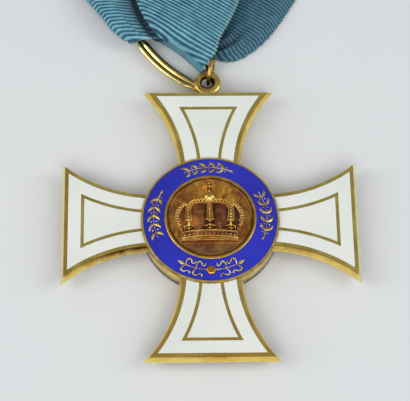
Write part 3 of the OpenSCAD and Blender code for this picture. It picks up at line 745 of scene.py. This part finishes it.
def build_loop(material):
    """The oval loop, swept with two ridges and a groove between them."""
    fan = math.degrees(math.asin(HALF_L / (SIDE_R - LOOP_END)))
    line = []
    for h in (0, 180):
        arcs = (((HALF_W - SIDE_R, 0), SIDE_R - RIDGE, np.linspace(-fan, fan, 60)),
                ((0, HALF_L), LOOP_END - RIDGE, np.linspace(fan, 180 - fan, 50)))
        for (cx, cy), r, angles in arcs:
            for a in angles[:-1]:
                x, y = cx + r * cosd(a), cy + r * sind(a)
                wide = ridge_widening(-a / fan if h else a / fan) if cx else 1.0
                line.append((x * cosd(h) - y * sind(h), x * sind(h) + y * cosd(h),
                             wide * cosd(a + h), wide * sind(a + h)))
    r = RIDGE / 2 + RIDGE_JOIN
    section = []
    for side in (1, -1):
        for a in np.linspace(-160, 160, 17):
            # painted shade on the side of each ridge that faces the loop's inside
            dark = float(smooth(-side * cosd(a), -0.45, 0.5))
            section.append((side * (RIDGE / 2 + r * cosd(a)), side * r * sind(a), dark))
    turn = LOOP_DIR - 90
    verts = []
    for x, y, nx, ny in line:
        for u, w, _ in section:
            px, py = x + u * nx, y + u * ny
            verts.append((LOOP_MID[0] + px * cosd(turn) - py * sind(turn),
                          LOOP_MID[1] + px * sind(turn) + py * cosd(turn), LOOP_Z + w))
    n, m = len(line), len(section)
    faces = [(i * m + (j + 1) % m, (i + 1) % n * m + (j + 1) % m, (i + 1) % n * m + j, i * m + j)
             for i in range(n) for j in range(m)]
    piece = add_mesh("loop_polished", verts, faces, material)
    add_values(piece, "groove", [dark for _, _, dark in section] * n)
    return piece


# The crown, which stands a little left of the disc's middle

CROWN_X = -0.12
CROWN_FOOT, BAND_TOP, BAND_BEND, BAND_REACH = -4.62, -2.5, 0.012, 4.85
CAP_FOOT, CAP_TOP = -2.7, 3.1
BAND_H, COVE_R, COVE_H, BULGE_R = 0.6, 7.0, 0.25, 5.2
ARCHES = (
    # path down to the foot, half width at both ends, pearl and its step, height, stands on a foot
    (((0.0, 2.9), (0.0, 1.8), (0.0, 0.6), (0.0, -0.52)), 0.36, 0.62, 0.2, 0.52, 0.6, True),
    (((0.6, 3.06), (1.9, 3.1), (2.85, 2.84), (3.4, 2.38), (3.66, 1.75), (3.74, 0.95),
      (3.7, 0.15), (3.62, -0.58)), 0.32, 0.58, 0.23, 0.6, 0.58, True),
    (((4.2, 2.55), (5.0, 2.1), (5.55, 1.2), (5.7, 0.2), (5.55, -0.7)),
     0.26, 0.4, 0.23, 0.54, 0.5, False))


def smooth_path(points, steps=8):
    """A smooth curve through given points."""
    p = np.array([points[0], *points, points[-1]], float)
    out = []
    for i in range(1, len(p) - 2):
        for q in np.linspace(0, 1, steps, endpoint=False):
            out.append((2 * p[i] + (p[i + 1] - p[i - 1]) * q
                        + (2 * p[i - 1] - 5 * p[i] + 4 * p[i + 1] - p[i + 2]) * q * q
                        + (3 * p[i] - p[i - 1] - 3 * p[i + 1] + p[i + 2]) * q ** 3) / 2)
    out.append(p[-2])
    return out


class Relief:
    """Heights over a square grid, built up from rounded strokes, beads and blobs."""

    def __init__(self, reach, pitch, middle_x):
        line = np.arange(-reach, reach + pitch / 2, pitch)
        self.plan_x, self.y = np.meshgrid(line, line)
        self.x = self.plan_x - middle_x
        self.h = np.zeros_like(self.x)

    def raise_to(self, height):
        self.h = np.maximum(self.h, height)

    def dome(self, q, base, rise):
        """A rounded top where q is above 0, highest where it is 1."""
        self.raise_to(np.where(q > 0, base + rise * np.sqrt(np.clip(q, 0, 1)), 0))

    def distance(self, path):
        best = np.full(self.x.shape, 1e9)
        for a, b in zip(path[:-1], path[1:]):
            d = b - a
            q = ((self.x - a[0]) * d[0] + (self.y - a[1]) * d[1]) / max(d @ d, 1e-9)
            q = np.clip(q, 0, 1)
            best = np.minimum(best, np.hypot(self.x - a[0] - q * d[0], self.y - a[1] - q * d[1]))
        return best

    def stroke(self, path, half, base, rise, square=2.0):
        d = self.distance(np.asarray(path, float))
        self.dome(1 - (d / half) ** square, base, rise)

    def bead(self, x, y, r, base, flat=1.0):
        self.dome(1 - ((self.x - x) ** 2 + (self.y - y) ** 2) / (r * r), base, r * flat)

    def blob(self, x, y, a, b, turn, base, rise):
        dx, dy = self.x - x, self.y - y
        u, v = dx * cosd(turn) + dy * sind(turn), -dx * sind(turn) + dy * cosd(turn)
        self.dome(1 - (u / a) ** 2 - (v / b) ** 2, base, rise)

    def beads(self, path, r, step, base, flat=1.0):
        path = np.asarray(path, float)
        run = run_along(path)
        count = max(int(round(run[-1] / step)), 1)
        for s in np.linspace(0, run[-1], count + 1):
            self.bead(np.interp(s, run, path[:, 0]), np.interp(s, run, path[:, 1]), r, base, flat)


def draw_cap(relief):
    """Low swelling fields between the arches."""
    y, far = relief.y, np.abs(relief.x)
    half = np.interp(y, [CAP_FOOT, -1.0, 0.0, 0.9, 1.8, 2.4, 2.9, CAP_TOP],
                     [5.0, 5.5, 5.7, 5.7, 5.3, 4.6, 3.2, 0.0])
    lobe = np.where(far < 3.6, np.sin(math.pi * np.clip((far - 0.5) / 2.8, 0, 1)),
                    np.sin(math.pi * np.clip((far - 4.1) / 1.5, 0, 1)))
    ends = np.clip((y + 2.6) / 1.6, 0, 1) * np.sqrt(np.clip((CAP_TOP - y) / 1.6, 0, 1))
    inside = (y > CAP_FOOT) & (y < CAP_TOP) & (far < half)
    relief.raise_to(np.where(inside, 0.16 + 0.34 * lobe * ends, 0))


def draw_band(relief):
    """Two mouldings, a row of pearls between them, and a plain jewelled zone above."""
    def curve(level, bend=BAND_BEND):
        xs = np.linspace(-4.8, 4.8, 25)
        return np.stack([xs, level - bend * xs ** 2], 1)

    x, y = relief.x, relief.y
    under = y < BAND_TOP - BAND_BEND * x * x
    relief.raise_to(np.where((y > CROWN_FOOT) & under & (np.abs(x) < BAND_REACH), BAND_H, 0))
    relief.stroke(curve(-4.55, 0.0), 0.17, BAND_H, 0.42)
    relief.stroke(curve(-4.17, 0.004), 0.1, BAND_H, 0.22)
    relief.stroke(curve(-3.7), 0.2, BAND_H, 0.2)
    relief.beads(curve(-3.7), 0.18, 0.38, 0.8)
    relief.stroke(curve(-2.6), 0.14, BAND_H, 0.3)
    for i, gem in enumerate(np.linspace(-4.3, 4.3, 13)):
        wide = 0.26 if i % 2 else 0.16
        relief.blob(gem, -3.14 - BAND_BEND * gem ** 2, wide, 0.17, 0, BAND_H, 0.2)


def draw_arches(relief):
    """Each arch has two rails with pearls between them, and most stand on a flared foot."""
    for points, narrow, wide, pearl, step, base, on_foot in ARCHES:
        for side in (1, -1) if points[0][0] else (1,):
            path = np.array(smooth_path([(side * a, b) for a, b in points]))
            widths = np.interp(np.linspace(0, 1, len(path)), [0, 0.35, 0.8, 1],
                               [narrow, narrow * 1.15, wide * 0.86, wide])
            for k in range(0, len(path) - 1, 2):
                relief.stroke(path[k:k + 3], widths[k] * 0.9, base - 0.12, 0.12, 8)
            for edge in (1, -1):
                rail = path + path_sides(path) * (edge * widths)[:, None]
                relief.stroke(rail, 0.1, base, 0.18)
            relief.beads(path, pearl, step, base + 0.14, 1.15)
            if on_foot:
                foot, reach = path[-1], wide * 0.8
                relief.stroke([foot + (-wide * 1.22, -0.08), foot + (wide * 1.22, -0.08)],
                              0.12, base, 0.3)
                relief.beads([foot + (-reach, 0.12), foot + (reach, 0.12)],
                             0.13, reach, base + 0.15)


def draw_finials(relief):
    """Balls over leaves on the band, small pearls between them, and a leaf at each end."""
    for x0, ball, leaf in ((0.0, -0.9, -1.78), (3.62, -1.2, -1.8), (-3.62, -1.2, -1.8)):
        relief.blob(x0, ball, 0.24, 0.33, 0, 0.72, 0.42)
        relief.stroke([(x0, leaf + 0.3), (x0, CAP_FOOT)], 0.17, 0.55, 0.3)
        for side in (-1, 1):
            relief.stroke([(x0, leaf + 0.34), (x0 + side * 0.42, leaf + 0.1),
                           (x0 + side * 0.85, leaf - 0.06)], 0.16, 0.6, 0.36)
            relief.stroke([(x0, leaf - 0.3), (x0 + side * 0.34, leaf - 0.42),
                           (x0 + side * 0.5, leaf - 0.3)], 0.1, 0.55, 0.28)
            relief.bead(x0 + side * 0.85, leaf - 0.02, 0.17, 0.72)
    for side in (-1, 1):
        for x0, y0, size in ((1.76, -2.0, 1.0), (4.42, -2.1, 0.8), (4.85, -2.15, 0.8)):
            relief.stroke([(side * x0, CAP_FOOT), (side * x0, y0)], 0.1 * size, 0.45, 0.3)
            relief.blob(side * x0, y0, 0.16 * size, 0.26 * size, 0, 0.62, 0.36)
        relief.blob(side * 5.5, -1.1, 0.34, 0.24, side * 30, 0.5, 0.4)
        relief.blob(side * 5.2, -1.35, 0.2, 0.28, 0, 0.5, 0.36)
        relief.stroke([(side * 5.5, -1.2), (side * 5.0, -2.5)], 0.13, 0.4, 0.34)


def draw_orb(relief):
    """The orb, and the pearled cross on it."""
    relief.blob(0, 3.9, 1.08, 0.92, 0, 0.42, 0.8)
    relief.stroke([(-0.62, 3.06), (0.62, 3.06)], 0.15, 0.62, 0.2)
    relief.stroke([(0, 4.6), (0, 6.5)], 0.14, 0.5, 0.25)
    relief.stroke([(-0.8, 5.9), (0.8, 5.9)], 0.14, 0.5, 0.25)
    for x0, y0, r in ((-0.86, 5.96, 0.22), (0.86, 5.96, 0.22), (0, 6.5, 0.22), (0, 5.9, 0.24),
                      (0, 5.0, 0.24), (-0.48, 5.5, 0.17), (0.48, 5.5, 0.17),
                      (-0.44, 6.3, 0.15), (0.44, 6.3, 0.15)):
        relief.bead(x0, y0, r, 0.55)


def build_crown(material):
    """The disc with the crown in relief, marked for the gilding: patina where the crown lies low,
    painted shade on the floor beside the relief, and the bare floor.
    """
    relief = Relief(DISC_R, 0.045, CROWN_X)
    for draw in (draw_cap, draw_band, draw_arches, draw_finials, draw_orb):
        draw(relief)
    x, y, plan_x = relief.x, relief.y, relief.plan_x
    stands = smooth(softened(relief.h, 2), 0.4, 0.6)
    bulge = 0.55 + 0.45 * np.clip(1 - (x / BULGE_R) ** 2, -0.2, 1)
    sharp = softened(relief.h, 1) * bulge
    cavity = sharp - softened(sharp, 60)
    r = np.hypot(plan_x, y)
    cove = np.clip((r - COVE_R) / (DISC_R - COVE_R), 0, 1)
    height = np.maximum(sharp, COVE_H * cove ** 2) + DISC_Z

    keep = r <= DISC_R - 0.01
    index = -np.ones(x.shape, int)
    index[keep] = np.arange(keep.sum())
    verts = np.stack([plan_x[keep], y[keep], height[keep]], 1)
    quads = np.stack([index[:-1, :-1], index[:-1, 1:], index[1:, 1:], index[1:, :-1]], -1)
    quads = quads.reshape(-1, 4)
    piece = add_mesh("crown_relief", verts, quads[(quads >= 0).all(1)].tolist(), material)

    # patina on the crown wherever it lies low, and painted shade on the floor beside what is tall
    # below the crown's foot the band's lower wall counts as floor, so it takes the painted shade
    floor = np.maximum(1 - smooth(sharp, 0.02, 0.06), y < CROWN_FOOT)
    jewelled = smooth(y, -3.5, -3.35) * smooth(-y, 2.75, 2.9) * (np.abs(x) < 4.7)
    hollow = 1 - stands * (0.62 + 0.38 * smooth(cavity, -0.03, 0.08)) * (1 - 0.4 * jewelled)
    hollow = np.where(y > 3.0, 0.35 * hollow, hollow)
    # painted shade on the floor, strongest beside what is tall
    shadow = np.clip(1.3 * softened((sharp > 0.2).astype(float), 40) - 0.15, 0, 1)
    hollow = floor * shadow + (1 - floor) * hollow
    for name, values in (("hollow", hollow), ("floor", floor)):
        add_values(piece, name, np.clip(values, 0, 1)[keep])
    return piece


# Gilt ornament on the blue ring

# A curl's path along and out from where it starts, and the widths of the thin parts
CURL_UP = [(0.0, 0.0), (-0.2, 0.5), (-0.12, 1.0), (0.3, 1.26), (0.66, 1.04), (0.86, 0.72),
           (1.12, 0.6), (1.36, 0.78), (1.46, 1.1)]
CURL_LOW = [(0.0, 0.0), (-0.34, 0.45), (-0.48, 0.88), (-0.15, 1.2), (0.3, 1.04), (0.66, 0.8),
            (0.95, 0.9), (1.03, 1.3)]
CURL_WIDTHS = [0.06, 0.11, 0.15, 0.16, 0.13, 0.1, 0.11, 0.14, 0.06]
BUD_WIDTHS = [0.03, 0.2, 0.34, 0.32, 0.22, 0.12, 0.02]
DOT_WIDTHS = [0.04, 0.55, 0.68, 0.77, 0.8, 0.77, 0.68, 0.55, 0.04]
LEAF = [(0.0, 0.0), (-0.18, 0.42), (-0.62, 0.86), (-1.12, 1.06)]
LEAF_WIDTHS = [0.06, 0.16, 0.25, 0.27, 0.22, 0.12, 0.02]
LEAF_PAIRS, SCROLL_AT = 5, 270


def ring_z(r):
    """The blue ring's height, which climbs inwards."""
    return RING_LOW + (RING_HIGH - RING_LOW) * (RING_OUT - r) / (RING_OUT - RING_IN)


def polar(a, along, out):
    """A place on the ring: an angle, then millimetres clockwise along it and outwards."""
    turn = a - math.degrees(along / RING_MID)
    return np.array([(RING_MID + out) * cosd(turn), (RING_MID + out) * sind(turn)])


def round_ring(a, low, high, count):
    """A path along the ring's middle."""
    return [polar(a, u, 0) for u in np.linspace(low, high, count)]


class Strokes:
    """Low rounded strokes that follow the enamel's slope."""

    section = [(-1, 0.0), (-0.82, 0.62), (-0.35, 0.95), (0.35, 0.95), (0.82, 0.62), (1, 0.0)]

    def __init__(self):
        self.verts, self.faces = [], []

    def add(self, path, widths, height=0.1):
        path = np.asarray(path, float)
        places = np.linspace(0, 1, len(path))
        widths = np.interp(places, np.linspace(0, 1, len(widths)), widths)
        start, m = len(self.verts), len(self.section)
        for p, w, side in zip(path, widths, path_sides(path)):
            for u, h in self.section:
                q = p + side * u * w
                self.verts.append((q[0], q[1], ring_z(math.hypot(*q)) + 0.01 + h * height))
        for i in range(len(path) - 1):
            for j in range(m):
                a, b = start + i * m, start + (i + 1) * m
                k = (j + 1) % m
                self.faces.append((a + j, b + j, b + k, a + k))
        self.faces.append(tuple(start + j for j in range(m)))
        last = start + (len(path) - 1) * m
        self.faces.append(tuple(last + j for j in range(m - 1, -1, -1)))


def build_scroll(material):
    """A thin stem with a dot in its middle, and on both sides two pairs of curls and a bud."""
    s = Strokes()
    s.add(round_ring(SCROLL_AT, -5.0, 5.0, 60), [0.07, 0.09, 0.07])
    s.add(round_ring(SCROLL_AT, -0.8, 0.8, 15), DOT_WIDTHS, 0.16)
    for side in (-1, 1):
        for start in (2.5, 4.5):
            for up, curl in ((-1, CURL_UP), (1, CURL_LOW)):
                path = [polar(SCROLL_AT, side * (start - u), up * v) for u, v in smooth_path(curl)]
                s.add(path, CURL_WIDTHS, 0.12)
        s.add(round_ring(SCROLL_AT, side * 4.75, side * 6.2, 12), BUD_WIDTHS, 0.12)
    return add_mesh("scroll_gilding", s.verts, s.faces, material)


def build_sprig(name, angle, spread, material):
    """A laurel sprig, with pairs of pointed leaves and small berries."""
    s = Strokes()
    reach = math.radians(spread / 2) * RING_MID
    s.add(round_ring(angle, -reach, reach, 50), [0.05, 0.1, 0.11])
    for i in range(LEAF_PAIRS):
        at = reach * (-0.92 + 1.84 * (i + 0.5) / LEAF_PAIRS)
        for side in (-1, 1):
            path = [polar(angle, at + u, side * v) for u, v in smooth_path(LEAF, 6)]
            s.add(path, LEAF_WIDTHS, 0.12)
        for side in (-1, 1):
            berry = [polar(angle, at + 0.5 + u, side * 0.46) for u in np.linspace(-0.14, 0.14, 7)]
            s.add(berry, [0.03, 0.11, 0.14, 0.14, 0.11, 0.03], 0.11)
    s.add(round_ring(angle, reach - 0.1, reach + 0.75, 10), [0.08, 0.2, 0.22, 0.16, 0.03], 0.12)
    return add_mesh(name, s.verts, s.faces, material)


# Build it

white = enamel("white_enamel_coat", srgb(234, 236, 228), srgb(226, 229, 221), 0.16)
blue = enamel("blue_enamel_coat", srgb(40, 46, 182), srgb(30, 36, 162), 0.14)
for node, material in {
        "cross_body": cross_gilt(), "medallion_mount": mount_gilt(), "reverse_plate": wall_gilt(),
        "blue_ring": blue, "jump_ring": ring_gilt(),
        **{f"enamel_{kind}_{side}": white for kind in ("band", "field") for side in "nwse"}}.items():
    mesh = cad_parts[node].data
    mesh.materials.clear()
    mesh.materials.append(material)

ribbon, cloth_length = build_ribbon(silk())
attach(ribbon, "root")
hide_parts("ribbon")

loop = build_loop(loop_gilt())
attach(loop, "root")
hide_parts("ribbon_loop")

crown = build_crown(crown_gilt())
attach(crown, "root")
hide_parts("crown_disc")

ornament = ornament_gilt()
for piece, node in ((build_scroll(ornament), "gilt_scroll"),
                    (build_sprig("sprig_gilding_w", 177, 52, ornament), "gilt_sprig_w"),
                    (build_sprig("sprig_gilding_n", 93.5, 48, ornament), "gilt_sprig_n"),
                    (build_sprig("sprig_gilding_e", 5, 52, ornament), "gilt_sprig_e")):
    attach(piece, "root")
    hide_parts(node)


# Stage, lights and camera

TABLE_REACH = 1400
ELEVATION, YAW, ROLL, DISTANCE = 63.8, -2.95, 2.25, 316.9
TARGET = np.array([-0.87, 3.76, 4.0])
LENS, SENSOR = 158.8, 36


def build_stage():
    s = Shader("table_paper", Specular_IOR_Level=0.2)
    s.colour(s.mix(s.noise(30, 3, 0.5), srgb(222, 224, 225), srgb(226, 227, 227)))
    s.rough(s.spread(s.noise(200, 3), 0.6, 0.75))
    s.bump(s.noise(900, 3), 0.05, 0.1)
    corners = [(TABLE_REACH * a, TABLE_REACH * b, 0)
               for a, b in ((-1, -1), (1, -1), (1, 1), (-1, 1))]
    floor = add_mesh("table", corners, [(0, 1, 2, 3)], s.material, rounded=False)


def area_light(name, place, size, power, colour=(1, 1, 1)):
    """A soft light, its place and size in metres, aimed at the middle of the badge."""
    light = bpy.data.lights.new(name, "AREA")
    light.shape = "RECTANGLE"
    light.size, light.size_y = size
    light.energy = power
    light.color = colour
    lamp = link(name, light)
    lamp.location = place
    lamp.rotation_euler = (-Vector(place)).to_track_quat("-Z", "Y").to_euler()


def build_lights():
    area_light("softbox_front", (0.0, -0.95, 0.95), (1.5, 0.6), 8.8)
    area_light("softbox_left", (-1.0, -0.1, 0.75), (0.6, 0.9), 5.2, (1, 0.99, 0.97))
    area_light("softbox_right", (1.0, -0.05, 0.8), (0.6, 0.9), 4.6, (0.97, 0.985, 1))
    world = bpy.data.worlds.new("studio")
    bpy.context.scene.world = world
    world.use_nodes = True
    back = world.node_tree.nodes["Background"]
    back.inputs["Color"].default_value = (0.9, 0.93, 0.97, 1)
    back.inputs["Strength"].default_value = 0.375


def build_camera():
    back = Vector((sind(YAW) * cosd(ELEVATION), -cosd(YAW) * cosd(ELEVATION), sind(ELEVATION)))
    data = bpy.data.cameras.new("camera")
    data.lens, data.sensor_width = LENS, SENSOR
    data.sensor_fit = "HORIZONTAL"
    data.clip_start, data.clip_end = 0.01, 20
    camera = link("camera", data)
    right = (-back).cross(Vector((0, 0, 1))).normalized()
    up = right.cross(-back)
    x_axis = cosd(ROLL) * right + sind(ROLL) * up
    y_axis = -sind(ROLL) * right + cosd(ROLL) * up
    place = Vector((TARGET * MM).tolist()) + back * DISTANCE * MM
    matrix = camera.matrix_world.to_4x4()
    for row in range(3):
        matrix[row] = x_axis[row], y_axis[row], back[row], place[row]
    camera.matrix_world = matrix
    bpy.context.scene.camera = camera


build_stage()
build_lights()
build_camera()
bpy.context.scene.view_settings.view_transform = "Standard"
